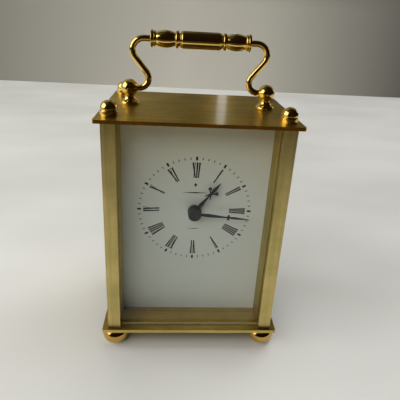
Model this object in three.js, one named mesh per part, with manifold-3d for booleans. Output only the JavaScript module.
// Mantel clock in the carriage style: a brass case on ball feet, a folding
// handle, a glazed front, a hinged rear door and a quartz movement.
// Millimetres, +Z up. The origin is on the floor under the middle of the case,
// the dial faces -Y and +X is to the right of someone reading the dial.

import * as THREE from "three";
import { mergeVertices } from "three/addons/utils/BufferGeometryUtils.js";
import Module from "manifold-3d";

const wasm = await Module();
wasm.setup();

// ---------------------------------------------------------------- driving dimensions

const PLATE = { width: 90, depth: 66.3, corner: 0.8, top: 1.6, base: 1.7 };
const FOOT = { radius: 6.75, halfHeight: 5.4, restRadius: 2.5, neckRadius: 3.6, height: 11.7 };
const PILLAR = { width: 6.18, depth: 15, height: 108.8, sideOverhang: 2.87, frontOverhang: 1.55 };
const TIE = { x: 39.3, y: 24.9, radius: 1.5, bore: 1.65, footEnd: 3.5, finialReach: 3.6 };
const FINIAL = { collarRadius: 3.9, collarHeight: 2.6, grooveRadius: 3.45, domeRadius: 3.7, height: 6.8 };

const GLASS = { thickness: 1.2, setback: 2.4, tuck: 1.15, groove: 1.4, grooveDepth: 1.3 };
const PANEL = { thickness: 1.0, outerX: 41.1, tuck: 1.8, groove: 1.2, grooveDepth: 2.0 };
const DIAL = { halfWidth: 39.8, thickness: 0.8, frontY: -16.5, centreZ: 74.75, hubHole: 3.0 };
const DIAL_SCREW = { x: 37.6, inset: 6, radius: 0.9, length: 4.2, headRadius: 1.7, headHeight: 1.0 };

const POST = { x: 33.4, ballRadius: 4.15, ballHeight: 7.9, neckRadius: 2.35, flangeRadius: 4.5 };
const POST_SCREW = { radius: 1.2, bore: 1.32, reach: 4.2, headRadius: 2.6, headHeight: 1.5 };
const HANDLE = {
  rodRadius: 1.5, gripHeight: 31.0,
  lowerArcX: 29.0, lowerArcRadius: 4.7, upperArcX: 26.4, upperArcRadius: 5.45,
  endInBall: 33.2, endInGrip: 20.5,
};
const GRIP = { half: 23.4, bore: 1.6, boreDepth: 3.2 };
// Radii of the turned grip at distances from its middle: end collar, barrel, ring, bevel, bar.
const GRIP_STATIONS = [
  [3.75, 23.4], [4.05, 23.1], [4.05, 22.2], [3.15, 21.1],
  [3.65, 19.4], [4.0, 16.6], [3.65, 14.2], [3.15, 12.2],
  [3.95, 11.8], [3.95, 10.5], [3.1, 10.0],
  [3.75, 9.6], [3.8, 8.9], [4.05, 8.75],
];

const DOOR = { thickness: 1.5, y: 28.0, gap: 0.6, hingeX: -34.0, knuckle: 1.6, pin: 0.85, pinBore: 1.0 };
const DOOR_KNOB = { x: 29.5, radius: 3.6, stem: 1.6, height: 4.3 };
const CATCH = { width: 2.6, depth: 4.0, height: 12 };

const CASE_SIZE = 56;          // outer size of the square movement
const MOVEMENT_DEPTH = 16;
const WALL = 1.2;              // plastic wall of the movement
const BUSH = { radius: 2.85, bore: 2.1, proud: 0.8 };
const BAY = { low: -26.8, high: -11.8, halfLength: 26.8 };   // battery bay, measured up the dial
const CHAMBER_LOW = -9.6;      // floor of the wheel chamber
const LUG = { x: 30.5, y: 20, size: 5, stand: 2.5, hole: 1.15 };
const LUG_SCREW = { radius: 0.9, bore: 0.95, headRadius: 1.9, headHeight: 1.2, bossRadius: 2.2 };
const BATTERY = { radius: 7.1, half: 24.6, capRadius: 2.7, cap: 1.2 };
const KNOB = { radius: 4.2, ribs: 18, stem: 1.5, stemBore: 1.62, length: 4.4 };
const PIVOT = { radius: 0.45, bore: 0.55, depth: 0.8 };

const HAND_REST = { hour: 37.6, minute: 95.3 };              // degrees past twelve
const HAND = { thickness: 0.4, hourLift: 1.7, minuteLift: 4.2 };
const HUB = { hourRadius: 3.4, minuteRadius: 3.1, capRadius: 3.2, shaft: 1.12, pipe: 2.0, pipeBore: 1.2 };

const SNUG = 0.05;             // gap left round a piece that is pressed or screwed in place
const SEAT = 0.1;              // gap under a piece that rests on another in the movement

// Gear train from the stepping rotor to the minute arbor, 30 x 60 to one.
// Each entry drives the next: a pinion of six leaves into a wheel.
const TRAIN = {
  centre: { teeth: 48, module: 0.335 },
  third: { teeth: 45, module: 0.28, bearing: 125 },
  fourth: { teeth: 30, module: 0.3, bearing: 35 },
  fifth: { teeth: 36, module: 0.25, bearing: -10 },
  rotor: { magnet: 2.6, bearing: 20 },
};
const LEAVES = 6;
// Motion work from the minute arbor to the hour wheel, twelve to one.
const MOTION = { distance: 10.2, cannonTeeth: 8, minuteTeeth: 32, pinionTeeth: 8, hourTeeth: 24 };
// Depth behind the dial plate at which each wheel turns.
const LAYER = { hour: 1.8, minute: 3.4, centre: 5.2, third: 7.2, fourth: 9.2, fifth: 11.2 };
const WHEEL_THICKNESS = 0.8;
const STATOR = { depth: 5.9, thickness: 1.0, bore: 3.0, ring: 4.4, coilY: 21.8, coilX: 3, coilHalf: 11 };
const COIL = { bore: 1.0, winding: 2.6, flange: 3.1, cheek: 1 };
const BOARD = { left: -25.5, right: -13.5, low: -7, high: 18, depth: 6.2, thickness: 0.8 };
const CHIP = { y: 1, radius: 2.6, flatness: 0.5 };
const CRYSTAL = { y: 10, radius: 1.0, half: 3, lift: 1.2 };
const CONTACT = { half: 3.5, reach: 4, springRadius: 4.2, springTip: 1.6 };

// ---------------------------------------------------------------- derived places

const BASE_TOP = FOOT.height + PLATE.base;
const TOP_UNDER = BASE_TOP + PILLAR.height;
const TOP_FACE = TOP_UNDER + PLATE.top;
const PILLAR_OUT = PLATE.width / 2 - PILLAR.sideOverhang;
const PILLAR_IN = PILLAR_OUT - PILLAR.width;
const PILLAR_FRONT = PLATE.depth / 2 - PILLAR.frontOverhang;
const PILLAR_INNER = PILLAR_FRONT - PILLAR.depth;
const GLASS_FRONT = PILLAR_FRONT - GLASS.setback;
const PIVOT_Z = TOP_FACE + POST.ballHeight;
const DIAL_BACK = -DIAL.thickness;                           // in the dial's own frame
const CORNERS = [
  { name: "front_left", x: -1, y: -1 },
  { name: "front_right", x: 1, y: -1 },
  { name: "rear_left", x: -1, y: 1 },
  { name: "rear_right", x: 1, y: 1 },
];
const SIDES = [{ name: "left", x: -1 }, { name: "right", x: 1 }];

// ---------------------------------------------------------------- materials

const finishes = {
  brushedBrass: { color: 0xb79a55, metalness: 1, roughness: 0.42 },
  polishedBrass: { color: 0xc9a24a, metalness: 1, roughness: 0.16 },
  glass: { color: 0xe8f0ee, metalness: 0, roughness: 0.04, transparent: true, opacity: 0.25 },
  dialWhite: { color: 0xd6d2c8, metalness: 0, roughness: 0.6 },
  blackHand: { color: 0x1b1a18, metalness: 0.2, roughness: 0.45 },
  steel: { color: 0xa8a9aa, metalness: 1, roughness: 0.35 },
  blackPlastic: { color: 0x17181a, metalness: 0, roughness: 0.55 },
  wheelPlastic: { color: 0xe6e3da, metalness: 0, roughness: 0.5 },
  copper: { color: 0xb0623a, metalness: 0.8, roughness: 0.4 },
  board: { color: 0x2f5a3a, metalness: 0, roughness: 0.6 },
  batteryWrap: { color: 0x3a3f48, metalness: 0, roughness: 0.35 },
};

// ---------------------------------------------------------------- geometry helpers

// Keeps only the positions of a geometry, with shared corners merged.
function bare(geometry) {
  const plain = geometry.clone();
  plain.deleteAttribute("normal");
  plain.deleteAttribute("uv");
  return mergeVertices(plain, 1e-4);
}

function toSolid(geometry) {
  const plain = bare(geometry);
  const vertProperties = new Float32Array(plain.attributes.position.array);
  const triVerts = new Uint32Array(plain.index.array);
  return new wasm.Manifold(new wasm.Mesh({ numProp: 3, vertProperties, triVerts }));
}

function toGeometry(solid) {
  const mesh = solid.getMesh();
  const geometry = new THREE.BufferGeometry();
  geometry.setAttribute("position", new THREE.BufferAttribute(mesh.vertProperties, 3));
  geometry.setIndex(new THREE.BufferAttribute(mesh.triVerts, 1));
  geometry.computeVertexNormals();
  return geometry;
}

// Joins the geometries in `add` and cuts away those in `cut`.
function carve(add, cut = []) {
  let solid = toSolid(add[0]);
  for (const piece of add.slice(1)) solid = solid.add(toSolid(piece));
  for (const piece of cut) solid = solid.subtract(toSolid(piece));
  return toGeometry(solid);
}

// Box from its lowest to its highest corner.
function box(low, high) {
  const size = high.map((value, i) => value - low[i]);
  const middle = high.map((value, i) => (value + low[i]) / 2);
  return new THREE.BoxGeometry(...size).translate(...middle);
}

// Upright cylinder between two heights.
function rod(radius, low, high, x = 0, y = 0, segments = 16) {
  const cylinder = new THREE.CylinderGeometry(radius, radius, high - low, segments);
  return cylinder.rotateX(Math.PI / 2).translate(x, y, (low + high) / 2);
}

// Turned shape about +Z from [radius, height] pairs, listed from the bottom up
// and starting and ending on the axis.
function turned(profile, segments = 16) {
  const points = profile.map(([radius, height]) => new THREE.Vector2(radius, height));
  return new THREE.LatheGeometry(points, segments).rotateX(Math.PI / 2);
}

// Flat outline drawn in XY, raised from one height to another.
function slab(shape, low, high, curveSegments = 3) {
  const settings = { depth: high - low, bevelEnabled: false, curveSegments };
  return new THREE.ExtrudeGeometry(shape, settings).translate(0, 0, low);
}

function polygon(points) {
  return new THREE.Shape(points.map(([x, y]) => new THREE.Vector2(x, y)));
}

function roundedRectangle(width, depth, radius) {
  const x = width / 2;
  const y = depth / 2;
  const shape = new THREE.Shape();
  shape.moveTo(-x + radius, -y);
  shape.lineTo(x - radius, -y);
  shape.quadraticCurveTo(x, -y, x, -y + radius);
  shape.lineTo(x, y - radius);
  shape.quadraticCurveTo(x, y, x - radius, y);
  shape.lineTo(-x + radius, y);
  shape.quadraticCurveTo(-x, y, -x, y - radius);
  shape.lineTo(-x, -y + radius);
  shape.quadraticCurveTo(-x, -y, -x + radius, -y);
  return shape;
}

// Arc of a circle standing in the XZ plane.
class UprightArc extends THREE.Curve {
  constructor(centreX, centreZ, radius, startAngle, endAngle) {
    super();
    Object.assign(this, { centreX, centreZ, radius, startAngle, endAngle });
  }

  getPoint(t, target = new THREE.Vector3()) {
    const angle = this.startAngle + (this.endAngle - this.startAngle) * t;
    const x = this.centreX + this.radius * Math.cos(angle);
    return target.set(x, 0, this.centreZ + this.radius * Math.sin(angle));
  }
}

function piece(parent, name, finish, geometry) {
  const mesh = new THREE.Mesh(geometry, new THREE.MeshStandardMaterial(finishes[finish]));
  mesh.name = name;
  parent.add(mesh);
  return mesh;
}

const radians = (degrees) => THREE.MathUtils.degToRad(degrees);

// ---------------------------------------------------------------- case

function plates(parent) {
  const outline = roundedRectangle(PLATE.width, PLATE.depth, PLATE.corner);
  const tieHoles = (low, high) =>
    CORNERS.map((corner) => rod(TIE.bore, low, high, corner.x * TIE.x, corner.y * TIE.y, 12));
  const pinHole = (low, high) => rod(DOOR.pinBore, low, high, DOOR.hingeX, DOOR.y, 12);

  const base = slab(outline, FOOT.height, BASE_TOP);
  const basePocket = pinHole(BASE_TOP - 1, BASE_TOP + 1);
  piece(parent, "base_plate", "brushedBrass",
    carve([base], [...tieHoles(FOOT.height - 1, BASE_TOP + 1), basePocket]));

  const top = slab(outline, TOP_UNDER, TOP_FACE);
  const topPocket = pinHole(TOP_UNDER - 1, TOP_UNDER + 1);
  const postHoles = SIDES.map((side) =>
    rod(POST_SCREW.bore, TOP_UNDER - 1, TOP_FACE + 1, side.x * POST.x, 0, 12));
  piece(parent, "top_plate", "brushedBrass",
    carve([top], [...tieHoles(TOP_UNDER - 1, TOP_FACE + 1), topPocket, ...postHoles]));
}

// Extruded corner pillar with a bore for the tie rod, a groove for the side
// panel and, at the front, one for the glass.
function pillar(parent, corner) {
  const low = BASE_TOP;
  const high = TOP_UNDER;
  const across = (from, to) => (corner.x > 0 ? [from, to] : [-to, -from]);
  const along = (from, to) => (corner.y > 0 ? [from, to] : [-to, -from]);
  const column = (x, y) => box([x[0], y[0], low], [x[1], y[1], high]);
  const channel = (x, y) => box([x[0], y[0], low - 1], [x[1], y[1], high + 1]);

  const body = column(across(PILLAR_IN, PILLAR_OUT), along(PILLAR_INNER, PILLAR_FRONT));
  const bore = rod(TIE.bore, low - 1, high + 1, corner.x * TIE.x, corner.y * TIE.y, 12);
  const panelMiddle = PANEL.outerX - PANEL.thickness / 2;
  const panelGroove = channel(
    across(panelMiddle - PANEL.groove / 2, panelMiddle + PANEL.groove / 2),
    along(PILLAR_INNER - 1, PILLAR_INNER + PANEL.grooveDepth));
  const cuts = [bore, panelGroove];
  if (corner.y < 0) {
    const glassMiddle = GLASS_FRONT - GLASS.thickness / 2;
    cuts.push(channel(
      across(PILLAR_IN - 1, PILLAR_IN + GLASS.grooveDepth),
      along(glassMiddle - GLASS.groove / 2, glassMiddle + GLASS.groove / 2)));
    const screwLow = BASE_TOP + DIAL_SCREW.inset;
    const screwHigh = TOP_UNDER - DIAL_SCREW.inset;
    for (const z of [screwLow, screwHigh]) {
      const hole = new THREE.CylinderGeometry(
        DIAL_SCREW.radius + SNUG, DIAL_SCREW.radius + SNUG, DIAL_SCREW.length * 2, 10);
      cuts.push(hole.translate(corner.x * DIAL_SCREW.x, -PILLAR_INNER, z));
    }
  }
  piece(parent, `pillar_${corner.name}`, "brushedBrass", carve([body], cuts));
}

// Rod that pulls foot, base plate, pillar, top plate and finial together.
function tieRod(parent, corner) {
  const geometry = rod(TIE.radius, TIE.footEnd, TOP_FACE + TIE.finialReach, 0, 0, 12);
  piece(parent, `tie_rod_${corner.name}`, "steel", geometry)
    .position.set(corner.x * TIE.x, corner.y * TIE.y, 0);
}

// Flattened ball with a flat under it and a short neck against the base plate.
function foot(parent, corner) {
  const { radius, halfHeight, restRadius, neckRadius, height } = FOOT;
  const lowest = -Math.acos(restRadius / radius);
  const highest = Math.acos(neckRadius / radius);
  const centreHeight = -halfHeight * Math.sin(lowest);
  const profile = [[0, 0]];
  const steps = 7;
  for (let i = 0; i <= steps; i++) {
    const angle = lowest + ((highest - lowest) * i) / steps;
    profile.push([radius * Math.cos(angle), centreHeight + halfHeight * Math.sin(angle)]);
  }
  profile.push([neckRadius, height], [0, height]);
  const bore = rod(TIE.radius + SNUG, TIE.footEnd - SNUG, FOOT.height + 1, 0, 0, 12);
  piece(parent, `foot_${corner.name}`, "polishedBrass", carve([turned(profile, 16)], [bore]))
    .position.set(corner.x * TIE.x, corner.y * TIE.y, 0);
}

// Turned nut on the end of the tie rod: a collar, a groove and a dome.
function finial(parent, corner) {
  const { collarRadius, collarHeight, grooveRadius, domeRadius, height } = FINIAL;
  const domeBase = collarHeight + 0.7;
  const profile = [
    [0, 0],
    [collarRadius, 0],
    [collarRadius, collarHeight - 0.3],
    [collarRadius - 0.3, collarHeight],
    [grooveRadius, collarHeight + 0.3],
    [domeRadius, domeBase],
  ];
  const steps = 3;
  for (let i = 1; i < steps; i++) {
    const angle = (i / steps) * (Math.PI / 2);
    profile.push([domeRadius * Math.cos(angle), domeBase + (height - domeBase) * Math.sin(angle)]);
  }
  profile.push([0, height]);
  const bore = rod(TIE.radius + SNUG, -1, TIE.finialReach + SNUG, 0, 0, 12);
  piece(parent, `finial_${corner.name}`, "polishedBrass", carve([turned(profile, 14)], [bore]))
    .position.set(corner.x * TIE.x, corner.y * TIE.y, TOP_FACE);
}

function glazing(parent) {
  const reach = PILLAR_IN + GLASS.tuck;
  const low = [-reach, -GLASS_FRONT, BASE_TOP + SNUG];
  const high = [reach, -GLASS_FRONT + GLASS.thickness, TOP_UNDER - SNUG];
  piece(parent, "front_glass", "glass", box(low, high));
}

function sidePanel(parent, side) {
  const reach = PILLAR_INNER + PANEL.tuck;
  const inner = PANEL.outerX - PANEL.thickness;
  const x = side.x > 0 ? [inner, PANEL.outerX] : [-PANEL.outerX, -inner];
  const low = [x[0], -reach, BASE_TOP + SNUG];
  const high = [x[1], reach, TOP_UNDER - SNUG];
  piece(parent, `side_panel_${side.name}`, "brushedBrass", box(low, high));
}

// ---------------------------------------------------------------- rear door

function rearDoor(parent) {
  const low = BASE_TOP + DOOR.gap;
  const high = TOP_UNDER - DOOR.gap;
  const half = DOOR.thickness / 2;
  const leaf = box([DOOR.hingeX, DOOR.y - half, low], [PILLAR_IN - DOOR.gap, DOOR.y + half, high]);
  const knuckle = rod(DOOR.knuckle, low, high, DOOR.hingeX, DOOR.y, 12);
  const bore = rod(DOOR.pinBore, low - 1, high + 1, DOOR.hingeX, DOOR.y, 12);
  const knobHole = new THREE.CylinderGeometry(DOOR_KNOB.stem / 2 + SNUG, DOOR_KNOB.stem / 2 + SNUG, 6, 10)
    .translate(DOOR_KNOB.x, DOOR.y, (low + high) / 2);
  piece(parent, "rear_door", "brushedBrass", carve([leaf, knuckle], [bore, knobHole]));

  const pin = rod(DOOR.pin, BASE_TOP - 0.9, TOP_UNDER + 0.9, DOOR.hingeX, DOOR.y, 12);
  piece(parent, "door_hinge_pin", "steel", pin);

  // The knob points to the rear: its axis, drawn along +Z, is turned to +Y.
  const stem = DOOR_KNOB.stem / 2;
  const knob = piece(parent, "door_knob", "polishedBrass", turned([
    [0, -DOOR.thickness],
    [stem, -DOOR.thickness],
    [stem, 0],
    [DOOR_KNOB.radius * 0.72, 0],
    [DOOR_KNOB.radius * 0.5, 1.2],
    [DOOR_KNOB.radius, 2.6],
    [DOOR_KNOB.radius, 3.4],
    [DOOR_KNOB.radius * 0.7, DOOR_KNOB.height],
    [0, DOOR_KNOB.height],
  ]));
  knob.position.set(DOOR_KNOB.x, DOOR.y + half + SNUG, (low + high) / 2);
  knob.rotation.x = -Math.PI / 2;

  // Spring catch on the pillar that the free edge of the door closes against.
  const closed = DOOR.y - half - SEAT;
  const right = PILLAR_IN;
  const profile = polygon([
    [right, closed - CATCH.depth],
    [right, closed - 0.2],
    [right - CATCH.width, closed],
    [right - CATCH.width, closed - 0.5],
    [right - 0.6, closed - 0.8],
    [right - 0.6, closed - CATCH.depth],
  ]);
  const middle = (BASE_TOP + TOP_UNDER) / 2;
  piece(parent, "door_catch", "steel", slab(profile, middle - CATCH.height / 2, middle + CATCH.height / 2));
}

// ---------------------------------------------------------------- handle

function handlePost(parent, side) {
  const { flangeRadius, neckRadius, ballRadius, ballHeight } = POST;
  const profile = [
    [0, 0],
    [flangeRadius * 0.92, 0],
    [flangeRadius, 0.6],
    [flangeRadius * 0.96, 1.3],
    [flangeRadius * 0.7, 2.1],
    [neckRadius, 3.3],
    [neckRadius, 4.2],
  ];
  const steps = 6;
  const start = -Math.acos(neckRadius / ballRadius);
  for (let i = 0; i < steps; i++) {
    const angle = start + ((Math.PI / 2 - start) * i) / steps;
    profile.push([ballRadius * Math.cos(angle), ballHeight + ballRadius * Math.sin(angle)]);
  }
  profile.push([0, ballHeight + ballRadius]);

  const screwBore = rod(POST_SCREW.bore, -1, POST_SCREW.reach + SNUG, 0, 0, 10);
  const pivotBore = new THREE.CylinderGeometry(HANDLE.rodRadius + 0.1, HANDLE.rodRadius + 0.1, 5, 16)
    .rotateZ(Math.PI / 2)
    .translate(-side.x * 2.3, 0, ballHeight);
  const post = carve([turned(profile, 14)], [screwBore, pivotBore]);
  piece(parent, `handle_post_${side.name}`, "polishedBrass", post).position.set(side.x * POST.x, 0, TOP_FACE);

  const screw = turned([
    [0, -PLATE.top - POST_SCREW.headHeight],
    [POST_SCREW.headRadius * 0.8, -PLATE.top - POST_SCREW.headHeight],
    [POST_SCREW.headRadius, -PLATE.top - POST_SCREW.headHeight * 0.5],
    [POST_SCREW.headRadius, -PLATE.top],
    [POST_SCREW.radius, -PLATE.top],
    [POST_SCREW.radius, POST_SCREW.reach - 0.2],
    [0, POST_SCREW.reach - 0.2],
  ], 12);
  piece(parent, `handle_post_screw_${side.name}`, "steel", screw)
    .position.set(side.x * POST.x, 0, TOP_FACE);
}

// Bent rod from the ball of the post, inwards, up and out again in a swan
// neck, and inwards into the end of the grip. Heights are above the pivot.
function armPath(side) {
  const rise = HANDLE.gripHeight - POST.ballHeight;
  const lower = { x: -HANDLE.lowerArcX, z: HANDLE.lowerArcRadius, r: HANDLE.lowerArcRadius };
  const upper = { x: -HANDLE.upperArcX, z: rise - HANDLE.upperArcRadius, r: HANDLE.upperArcRadius };
  const spanX = lower.x - upper.x;
  const spanZ = lower.z - upper.z;
  const turn = Math.acos((upper.r + lower.r) / Math.hypot(spanX, spanZ));
  const normal = Math.atan2(spanZ, spanX) - turn;             // from the upper arc to the straight
  const tangentAngle = normal + 2 * Math.PI;                  // same direction, between 90 and 270 degrees

  const path = new THREE.CurvePath();
  const at = (x, z) => new THREE.Vector3(x, 0, z);
  const onUpper = at(upper.x + upper.r * Math.cos(normal), upper.z + upper.r * Math.sin(normal));
  const onLower = at(lower.x - lower.r * Math.cos(normal), lower.z - lower.r * Math.sin(normal));
  path.add(new THREE.LineCurve3(at(-HANDLE.endInGrip, rise), at(upper.x, rise)));
  path.add(new UprightArc(upper.x, upper.z, upper.r, Math.PI / 2, tangentAngle));
  path.add(new THREE.LineCurve3(onUpper, onLower));
  path.add(new UprightArc(lower.x, lower.z, lower.r, tangentAngle - Math.PI, -Math.PI / 2));
  path.add(new THREE.LineCurve3(at(lower.x, 0), at(-HANDLE.endInBall, 0)));

  const points = path.getSpacedPoints(64);
  for (const point of points) point.x *= -side.x;
  return new THREE.CatmullRomCurve3(points);
}

function handle(parent) {
  const group = new THREE.Group();
  group.position.set(0, 0, PIVOT_Z);
  parent.add(group);

  const section = new THREE.Shape();
  section.absarc(0, 0, HANDLE.rodRadius, 0, 2 * Math.PI);
  for (const side of SIDES) {
    const settings = { extrudePath: armPath(side), steps: 28, curveSegments: 4, bevelEnabled: false };
    const arm = bare(new THREE.ExtrudeGeometry(section, settings));
    piece(group, `handle_arm_${side.name}`, "polishedBrass", arm);
  }

  // Half of the turned grip, from its end to the middle, then mirrored.
  const mirrored = GRIP_STATIONS.map(([radius, x]) => [radius, -x]).reverse();
  const profile = [[0, GRIP.half], ...GRIP_STATIONS, ...mirrored, [0, -GRIP.half]].reverse();
  const bores = SIDES.map((side) =>
    rod(GRIP.bore, GRIP.half - GRIP.boreDepth, GRIP.half + 1, 0, 0, 12).rotateX(side.x > 0 ? 0 : Math.PI));
  const grip = piece(group, "handle_grip", "polishedBrass", carve([turned(profile, 12)], bores));
  grip.position.z = HANDLE.gripHeight - POST.ballHeight;
  grip.rotation.y = Math.PI / 2;
}

// ---------------------------------------------------------------- gears

// Outline of a wheel with straight-flanked teeth, one of them at `phase`.
function gearShape(teeth, module, phase) {
  const pitch = (2 * Math.PI) / teeth;
  const radius = (teeth * module) / 2;
  const root = radius - 1.15 * module;
  const tip = radius + 0.85 * module;
  const corners = [[root, -0.29], [tip, -0.11], [tip, 0.11], [root, 0.29]];
  const points = [];
  for (let tooth = 0; tooth < teeth; tooth++) {
    for (const [reach, offset] of corners) {
      const angle = phase + (tooth + offset) * pitch;
      points.push([reach * Math.cos(angle), reach * Math.sin(angle)]);
    }
  }
  return polygon(points);
}

// Phase that puts the driven gear's gap opposite the driver's tooth, where
// `direction` is the angle from the driver's axis to the driven one's.
function meshPhase(driverTeeth, driverPhase, drivenTeeth, direction) {
  const driverPitch = (2 * Math.PI) / driverTeeth;
  const drivenPitch = (2 * Math.PI) / drivenTeeth;
  const offset = (driverPhase - direction) / driverPitch;
  return direction + Math.PI - (offset + 0.5) * drivenPitch;
}

// Depths count backwards from the dial plate, so a layer's +Z runs forwards.
const forward = (depth) => DIAL_BACK - depth;

function gearLayer(teeth, module, phase, depth, thickness = WHEEL_THICKNESS) {
  return slab(gearShape(teeth, module, phase), forward(depth + thickness), forward(depth));
}

// Axes of the train, each at the sum of its pitch radii from the one before.
function trainAxes() {
  const axes = { centre: [0, 0] };
  const order = ["centre", "third", "fourth", "fifth", "rotor"];
  for (let i = 1; i < order.length; i++) {
    const wheel = TRAIN[order[i - 1]];
    const [x, y] = axes[order[i - 1]];
    const distance = ((wheel.teeth + LEAVES) * wheel.module) / 2;
    const angle = radians(TRAIN[order[i]].bearing);
    axes[order[i]] = [x + distance * Math.cos(angle), y + distance * Math.sin(angle)];
  }
  return axes;
}

const AXES = trainAxes();

// ---------------------------------------------------------------- movement housing

function movementHousing(parent) {
  const half = CASE_SIZE / 2;
  const rear = forward(MOVEMENT_DEPTH);
  const seam = rear + WALL;
  const front = forward(SEAT);
  const floor = forward(SEAT + WALL);
  const pivotAxes = ["third", "fourth", "fifth", "rotor"].map((name) => AXES[name]);
  const stemAxis = [MOTION.distance, 0];

  const outer = box([-half, -half, seam], [half, half, front]);
  const bayFrame = box([-half, -half, rear], [half, CHAMBER_LOW - WALL, seam + 0.5]);
  const bush = rod(BUSH.radius, floor, BUSH.proud, 0, 0, 20);
  const lugs = [1, -1].map((sign) => box(
    [sign > 0 ? half - 1 : -LUG.x - LUG.size / 2, sign * LUG.y - LUG.size / 2, forward(LUG.stand + WALL)],
    [sign > 0 ? LUG.x + LUG.size / 2 : -half + 1, sign * LUG.y + LUG.size / 2, forward(LUG.stand)]));
  const chamber = box([-half + WALL, CHAMBER_LOW, rear - 1], [half - WALL, half - WALL, floor]);
  const bay = box([-BAY.halfLength, BAY.low, rear - 1], [BAY.halfLength, BAY.high, floor]);
  const bushBore = rod(BUSH.bore, floor - 1, BUSH.proud + 1, 0, 0, 16);
  const lugHoles = [1, -1].map((sign) =>
    rod(LUG.hole, forward(6), forward(1), sign * LUG.x, sign * LUG.y, 10));
  const pivots = [...pivotAxes, stemAxis].map(([x, y]) =>
    rod(PIVOT.bore, floor - 1, floor + PIVOT.depth, x, y, 8));
  piece(parent, "movement_case", "blackPlastic",
    carve([outer, bayFrame, bush, ...lugs], [chamber, bay, bushBore, ...lugHoles, ...pivots]));

  const cover = box([-half, CHAMBER_LOW - WALL + SEAT, rear], [half, half, seam - SNUG]);
  const rim = half - WALL - SEAT;
  const lip = box([-rim, CHAMBER_LOW + SEAT, seam - 0.2], [rim, rim, seam + 0.8]);
  const lipHollow = box([-rim + 1, CHAMBER_LOW + SEAT + 1, seam], [rim - 1, rim - 1, seam + 2]);
  const coverPivots = [...pivotAxes, [0, 0]].map(([x, y]) =>
    rod(PIVOT.bore, seam - PIVOT.depth, seam + 1, x, y, 8));
  const stemHole = rod(KNOB.stemBore, rear - 1, seam + 2, ...stemAxis, 16);
  piece(parent, "movement_cover", "blackPlastic", carve([cover, lip], [lipHollow, ...coverPivots, stemHole]));

  const seat = forward(LUG.stand + WALL);
  const headTop = seat - LUG_SCREW.headHeight;
  for (const [name, sign] of [["right", 1], ["left", -1]]) {
    const screw = turned([
      [0, headTop],
      [LUG_SCREW.headRadius, headTop],
      [LUG_SCREW.headRadius, seat],
      [LUG_SCREW.radius, seat],
      [LUG_SCREW.radius, forward(0.3)],
      [0, forward(0.3)],
    ], 12);
    piece(parent, `movement_screw_${name}`, "steel", screw)
      .position.set(sign * LUG.x, sign * LUG.y, 0);
  }
}

// ---------------------------------------------------------------- train

// Wheel, pinion and arbor in one moulding, at its own axis.
function trainWheel(parent, name, wheelPhase, pinionDepth, pinionModule, pinionPhase) {
  const { teeth, module } = TRAIN[name];
  const arbor = rod(PIVOT.radius, forward(MOVEMENT_DEPTH - WALL + 0.6), forward(0.8), 0, 0, 8);
  const wheel = gearLayer(teeth, module, wheelPhase, LAYER[name]);
  const pinion = gearLayer(LEAVES, pinionModule, pinionPhase, pinionDepth - 0.1, WHEEL_THICKNESS + 0.2);
  const solid = carve([arbor, wheel, pinion]);
  piece(parent, `${name}_wheel`, "wheelPlastic", solid).position.set(...AXES[name], 0);
}

function goingTrain(parent) {
  const leafPhase = (driver, driven) => {
    const direction = radians(TRAIN[driven].bearing);
    return meshPhase(TRAIN[driver].teeth, 0, LEAVES, direction);
  };

  // The centre wheel slips on the minute arbor when the hands are set.
  const centre = gearLayer(TRAIN.centre.teeth, TRAIN.centre.module, 0, LAYER.centre);
  const hub = rod(2.2, forward(LAYER.centre + 1.6), forward(LAYER.centre), 0, 0, 12);
  const bore = rod(1.1, forward(LAYER.centre + 3), forward(LAYER.centre - 1), 0, 0, 12);
  piece(parent, "centre_wheel", "wheelPlastic", carve([centre, hub], [bore]));

  trainWheel(parent, "third", 0, LAYER.centre, TRAIN.centre.module, leafPhase("centre", "third"));
  trainWheel(parent, "fourth", 0, LAYER.third, TRAIN.third.module, leafPhase("third", "fourth"));
  trainWheel(parent, "fifth", 0, LAYER.fourth, TRAIN.fourth.module, leafPhase("fourth", "fifth"));

  const arbor = rod(PIVOT.radius, forward(MOVEMENT_DEPTH - WALL + 0.6), forward(0.8), 0, 0, 8);
  const pinion = gearLayer(LEAVES, TRAIN.fifth.module, leafPhase("fifth", "rotor"),
    LAYER.fifth - 0.1, WHEEL_THICKNESS + 0.2);
  const magnet = rod(TRAIN.rotor.magnet, forward(8), forward(5), 0, 0, 16);
  piece(parent, "rotor", "steel", carve([arbor, pinion, magnet])).position.set(...AXES.rotor, 0);
}

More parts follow.
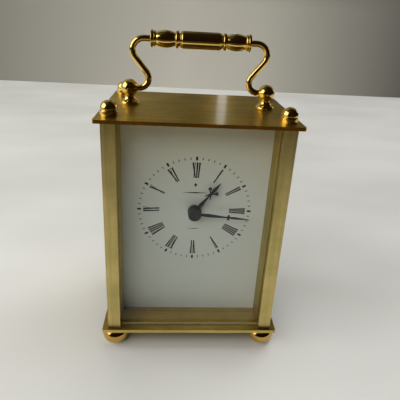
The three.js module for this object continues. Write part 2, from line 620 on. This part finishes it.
// Minute arbor with its cannon pinion, the minute wheel on the setting stem,
// and the hour wheel on its pipe.
function motionWork(parent) {
  const { distance, cannonTeeth, minuteTeeth, pinionTeeth, hourTeeth } = MOTION;
  const cannonModule = (2 * distance) / (cannonTeeth + minuteTeeth);
  const pinionModule = (2 * distance) / (pinionTeeth + hourTeeth);
  const minutePhase = meshPhase(cannonTeeth, 0, minuteTeeth, 0);
  const hourPhase = meshPhase(pinionTeeth, 0, hourTeeth, Math.PI);

  const front = HAND.minuteLift + 1.5;
  const cannon = gearLayer(cannonTeeth, cannonModule, 0, LAYER.minute - 0.1, WHEEL_THICKNESS + 0.2);
  const shaft = rod(HUB.shaft, forward(LAYER.minute), front, 0, 0, 12);
  const tail = rod(1.0, forward(LAYER.centre + 2), forward(LAYER.minute), 0, 0, 12);
  const pivot = rod(PIVOT.radius, forward(MOVEMENT_DEPTH - WALL + 0.6), forward(LAYER.centre), 0, 0, 8);
  piece(parent, "minute_arbor", "steel", carve([cannon, shaft, tail, pivot]));

  const wheel = gearLayer(minuteTeeth, cannonModule, minutePhase, LAYER.minute);
  const pinion = gearLayer(pinionTeeth, pinionModule, 0, LAYER.hour - 0.1, WHEEL_THICKNESS + 0.9);
  const stub = rod(PIVOT.radius, forward(5), forward(0.8), 0, 0, 8);
  const stem = rod(KNOB.stem, forward(12), forward(LAYER.minute), 0, 0, 12);
  piece(parent, "minute_wheel", "wheelPlastic", carve([wheel, pinion, stub, stem]))
    .position.set(distance, 0, 0);

  const hour = gearLayer(hourTeeth, pinionModule, hourPhase, LAYER.hour);
  const pipe = rod(HUB.pipe, forward(LAYER.hour + 0.4), HAND.hourLift + 0.8, 0, 0, 16);
  const pipeBore = rod(HUB.pipeBore, forward(LAYER.hour + 3), HAND.hourLift + 3, 0, 0, 16);
  piece(parent, "hour_wheel", "wheelPlastic", carve([hour, pipe], [pipeBore]));

  // Setting knob on the rear of the movement, ribbed for the finger.
  const ribs = gearShape(KNOB.ribs, (2 * KNOB.radius) / (KNOB.ribs + 0.4), 0);
  const rear = forward(MOVEMENT_DEPTH);
  const grip = slab(ribs, rear - KNOB.length, rear - SEAT * 2);
  const knobStem = rod(KNOB.stem, rear - 1, forward(12 + SNUG), 0, 0, 12);
  piece(parent, "setting_knob", "blackPlastic", carve([grip, knobStem])).position.set(distance, 0, 0);
}

// ---------------------------------------------------------------- electrics

function electrics(parent) {
  const [rotorX, rotorY] = AXES.rotor;
  const { depth, thickness, bore, ring, coilX, coilY, coilHalf } = STATOR;

  // Laminated stator: a ring round the rotor, a leg at each end and the bar
  // that carries the coil.
  const legRight = coilX + coilHalf + 1;
  const legLeft = coilX - coilHalf - 1;
  const bar = 0.6;
  const shape = polygon([
    [rotorX + 2, rotorY - ring], [legRight + 2.2, rotorY], [legRight + 2.2, coilY + bar],
    [legLeft - 2.2, coilY + bar], [legLeft - 2.2, coilY - 5.6], [rotorX - ring + 0.6, rotorY + 2.6],
    [rotorX - ring, rotorY], [rotorX - 2, rotorY - ring],
  ]);
  shape.holes.push(new THREE.Path([
    [legRight, coilY - bar], [legRight, coilY - 4], [legLeft, coilY - 4], [legLeft, coilY - bar],
  ].map(([x, y]) => new THREE.Vector2(x, y))));
  const rotorHole = new THREE.Path();
  rotorHole.absarc(rotorX, rotorY, bore, 0, 2 * Math.PI, true);
  shape.holes.push(rotorHole);
  piece(parent, "stator", "steel", slab(shape, forward(depth + thickness), forward(depth), 8));

  // Bobbin with its winding, open along the middle for the stator's bar.
  const wound = coilHalf - COIL.cheek;
  const profile = [
    [COIL.bore, -coilHalf], [COIL.flange, -coilHalf], [COIL.flange, -wound], [COIL.winding, -wound],
    [COIL.winding, wound], [COIL.flange, wound], [COIL.flange, coilHalf], [COIL.bore, coilHalf],
    [COIL.bore, -coilHalf],
  ];
  const coil = piece(parent, "coil", "copper", bare(turned(profile, 16)));
  coil.position.set(coilX, coilY, forward(depth + thickness / 2));
  coil.rotation.y = Math.PI / 2;

  // Circuit board on the left of the chamber, with its chip under a blob.
  const boardFace = forward(BOARD.depth);
  const boardMiddle = (BOARD.left + BOARD.right) / 2;
  const boardBack = boardFace - BOARD.thickness;
  const board = box([BOARD.left, BOARD.low, boardBack], [BOARD.right, BOARD.high, boardFace]);
  const blob = new THREE.SphereGeometry(CHIP.radius, 12, 6)
    .scale(1, 1, CHIP.flatness)
    .translate(boardMiddle, CHIP.y, boardFace);
  piece(parent, "circuit_board", "board", carve([board, blob]));

  const can = CRYSTAL.radius;
  const crystal = piece(parent, "quartz_crystal", "steel", turned([
    [0, -CRYSTAL.half], [can - 0.15, -CRYSTAL.half], [can, -CRYSTAL.half + 0.3],
    [can, CRYSTAL.half - 0.2], [can - 0.2, CRYSTAL.half], [0, CRYSTAL.half],
  ], 12));
  crystal.position.set(boardMiddle, CRYSTAL.y, boardFace + CRYSTAL.lift);
  crystal.rotation.y = Math.PI / 2;

  const bayMiddle = (BAY.low + BAY.high) / 2;
  const cellDepth = forward(SEAT + WALL + BATTERY.radius + SEAT);
  const battery = piece(parent, "battery", "batteryWrap", turned([
    [0, -BATTERY.half], [BATTERY.radius - 0.4, -BATTERY.half], [BATTERY.radius, -BATTERY.half + 0.4],
    [BATTERY.radius, BATTERY.half - 0.4], [BATTERY.radius - 0.4, BATTERY.half],
    [BATTERY.capRadius, BATTERY.half], [BATTERY.capRadius, BATTERY.half + BATTERY.cap],
    [0, BATTERY.half + BATTERY.cap],
  ], 20));
  battery.position.set(0, bayMiddle, cellDepth);
  battery.rotation.y = Math.PI / 2;

  const capEnd = BATTERY.half + BATTERY.cap + SNUG;
  const reach = BAY.halfLength - SNUG;
  const plus = box(
    [capEnd, bayMiddle - CONTACT.half, cellDepth - CONTACT.reach],
    [reach, bayMiddle + CONTACT.half, cellDepth + CONTACT.reach]);
  piece(parent, "battery_contact_plus", "steel", plus);

  const springTop = reach - BATTERY.half - SNUG;
  const spring = piece(parent, "battery_contact_minus", "steel", turned([
    [0, 0], [CONTACT.springRadius, 0], [CONTACT.springRadius, 0.6],
    [CONTACT.springTip + 1, 1.2], [CONTACT.springTip, springTop], [0, springTop],
  ], 16));
  spring.position.set(-reach, bayMiddle, cellDepth);
  spring.rotation.y = Math.PI / 2;
}

// ---------------------------------------------------------------- dial and hands

function dial(parent) {
  const low = BASE_TOP + SNUG - DIAL.centreZ;
  const high = TOP_UNDER - SNUG - DIAL.centreZ;
  const plate = box([-DIAL.halfWidth, low, DIAL_BACK], [DIAL.halfWidth, high, 0]);
  const bosses = [1, -1].map((sign) =>
    rod(LUG_SCREW.bossRadius, forward(LUG.stand - SEAT), DIAL_BACK + 0.2, sign * LUG.x, sign * LUG.y, 12));
  const bossBores = [1, -1].map((sign) =>
    rod(LUG_SCREW.bore, forward(LUG.stand + 1), forward(0.2), sign * LUG.x, sign * LUG.y, 10));
  const hub = rod(DIAL.hubHole, DIAL_BACK - 1, 1, 0, 0, 20);
  const screwHeights = {
    lower: BASE_TOP + DIAL_SCREW.inset - DIAL.centreZ,
    upper: TOP_UNDER - DIAL_SCREW.inset - DIAL.centreZ,
  };
  const holes = [];
  for (const [level, y] of Object.entries(screwHeights)) {
    for (const side of SIDES) {
      const x = side.x * DIAL_SCREW.x;
      holes.push(rod(DIAL_SCREW.radius + SNUG, DIAL_BACK - 1, 1, x, y, 10));
      const screw = turned([
        [0, DIAL_BACK - DIAL_SCREW.headHeight - SNUG],
        [DIAL_SCREW.headRadius, DIAL_BACK - DIAL_SCREW.headHeight - SNUG],
        [DIAL_SCREW.headRadius, DIAL_BACK - SNUG],
        [DIAL_SCREW.radius, DIAL_BACK - SNUG],
        [DIAL_SCREW.radius, DIAL_SCREW.length - 0.4],
        [0, DIAL_SCREW.length - 0.4],
      ], 10);
      piece(parent, `dial_screw_${level}_${side.name}`, "steel", screw).position.set(x, y, 0);
    }
  }
  piece(parent, "dial_plate", "dialWhite", carve([plate, ...bosses], [...bossBores, hub, ...holes]));
}

// Blade along +Y from its half widths at given distances from the hub.
function blade(stations) {
  const right = stations.map(([distance, halfWidth]) => [halfWidth, distance]);
  const left = stations.map(([distance, halfWidth]) => [-halfWidth, distance]).reverse();
  return polygon([...right, ...left].reverse());
}

// Small arm of the hour hand from its root, `angle` away from the hand's line.
function sprig(root, angle, length, rootHalf, tipHalf) {
  const shape = blade([[0, rootHalf], [length, tipHalf]]);
  return slab(shape, 0, HAND.thickness).rotateZ(radians(angle)).translate(0, root, 0);
}

function hourHand(parent) {
  const crossing = 12.3;
  const stem = slab(blade([
    [2, 0.6], [3.4, 0.8], [5.4, 0.95], [8, 0.62], [10.4, 0.38], [crossing, 0.6],
    [13.2, 0.4], [14.2, 0.72], [15.4, 0.86], [16.8, 0.6], [18.4, 0.3], [19.9, 0.08],
  ]), 0, HAND.thickness);
  const solids = [stem];
  for (const side of [1, -1]) {
    solids.push(sprig(crossing, side * 45, 2.6, 0.4, 0.3));
    const clubAngle = radians(90 + side * 45);
    solids.push(rod(0.92, 0, HAND.thickness,
      2.9 * Math.cos(clubAngle), crossing + 2.9 * Math.sin(clubAngle), 10));
    solids.push(sprig(crossing + 0.2, side * 150, 3.2, 0.42, 0.16));
  }
  const collar = rod(HUB.hourRadius, -HAND.hourLift + BUSH.proud + 0.2, 1.3, 0, 0, 24);
  const bore = rod(HUB.pipe + SNUG, -3, 0.9, 0, 0, 16);
  const arborBore = rod(HUB.pipeBore, -3, 3, 0, 0, 16);
  const hand = piece(parent, "hour_hand", "blackHand", carve([...solids, collar], [bore, arborBore]));
  hand.position.z = HAND.hourLift;
  hand.rotation.z = -radians(HAND_REST.hour);
}

function minuteHand(parent) {
  const crossing = 16.9;
  const stem = slab(blade([
    [2, 0.55], [4, 0.72], [7.5, 0.86], [11, 0.62], [15.5, 0.34], [crossing, 0.4], [18, 0.44],
    [20, 0.56], [22.5, 0.42], [27.3, 0.08],
  ]), 0, HAND.thickness);
  const bar = box([-1.35, crossing - 0.55, 0], [1.35, crossing + 0.55, HAND.thickness]);
  const collar = rod(HUB.minuteRadius, -0.9, 0.7, 0, 0, 24);
  const bore = rod(HUB.shaft + SNUG, -3, 3, 0, 0, 12);
  const hand = piece(parent, "minute_hand", "blackHand", carve([stem, bar, collar], [bore]));
  hand.position.z = HAND.minuteLift;
  hand.rotation.z = -radians(HAND_REST.minute);

  // Cap over the end of the arbor.
  const capLow = HAND.minuteLift + 0.7 + SNUG;
  const cap = turned([
    [0, capLow], [HUB.capRadius, capLow], [HUB.capRadius, capLow + 1.0],
    [HUB.capRadius - 0.25, capLow + 1.25], [0, capLow + 1.35],
  ], 24);
  const capBore = rod(HUB.shaft + SNUG, 0, HAND.minuteLift + 1.5 + SNUG, 0, 0, 12);
  piece(parent, "hand_cap", "blackHand", carve([cap], [capBore]));
}

// ---------------------------------------------------------------- assembly

const clock = new THREE.Group();
clock.name = "mantel_clock";

plates(clock);
for (const corner of CORNERS) {
  pillar(clock, corner);
  tieRod(clock, corner);
  foot(clock, corner);
  finial(clock, corner);
}
glazing(clock);
for (const side of SIDES) {
  sidePanel(clock, side);
  handlePost(clock, side);
}
handle(clock);
rearDoor(clock);

// Frame of the dial: X to the right, Y up, Z towards the reader, with its
// origin where the hands' axis meets the face of the dial.
const face = new THREE.Group();
face.position.set(0, DIAL.frontY, DIAL.centreZ);
face.rotation.x = Math.PI / 2;
clock.add(face);

dial(face);
movementHousing(face);
goingTrain(face);
motionWork(face);
electrics(face);
hourHand(face);
minuteHand(face);

export default clock;
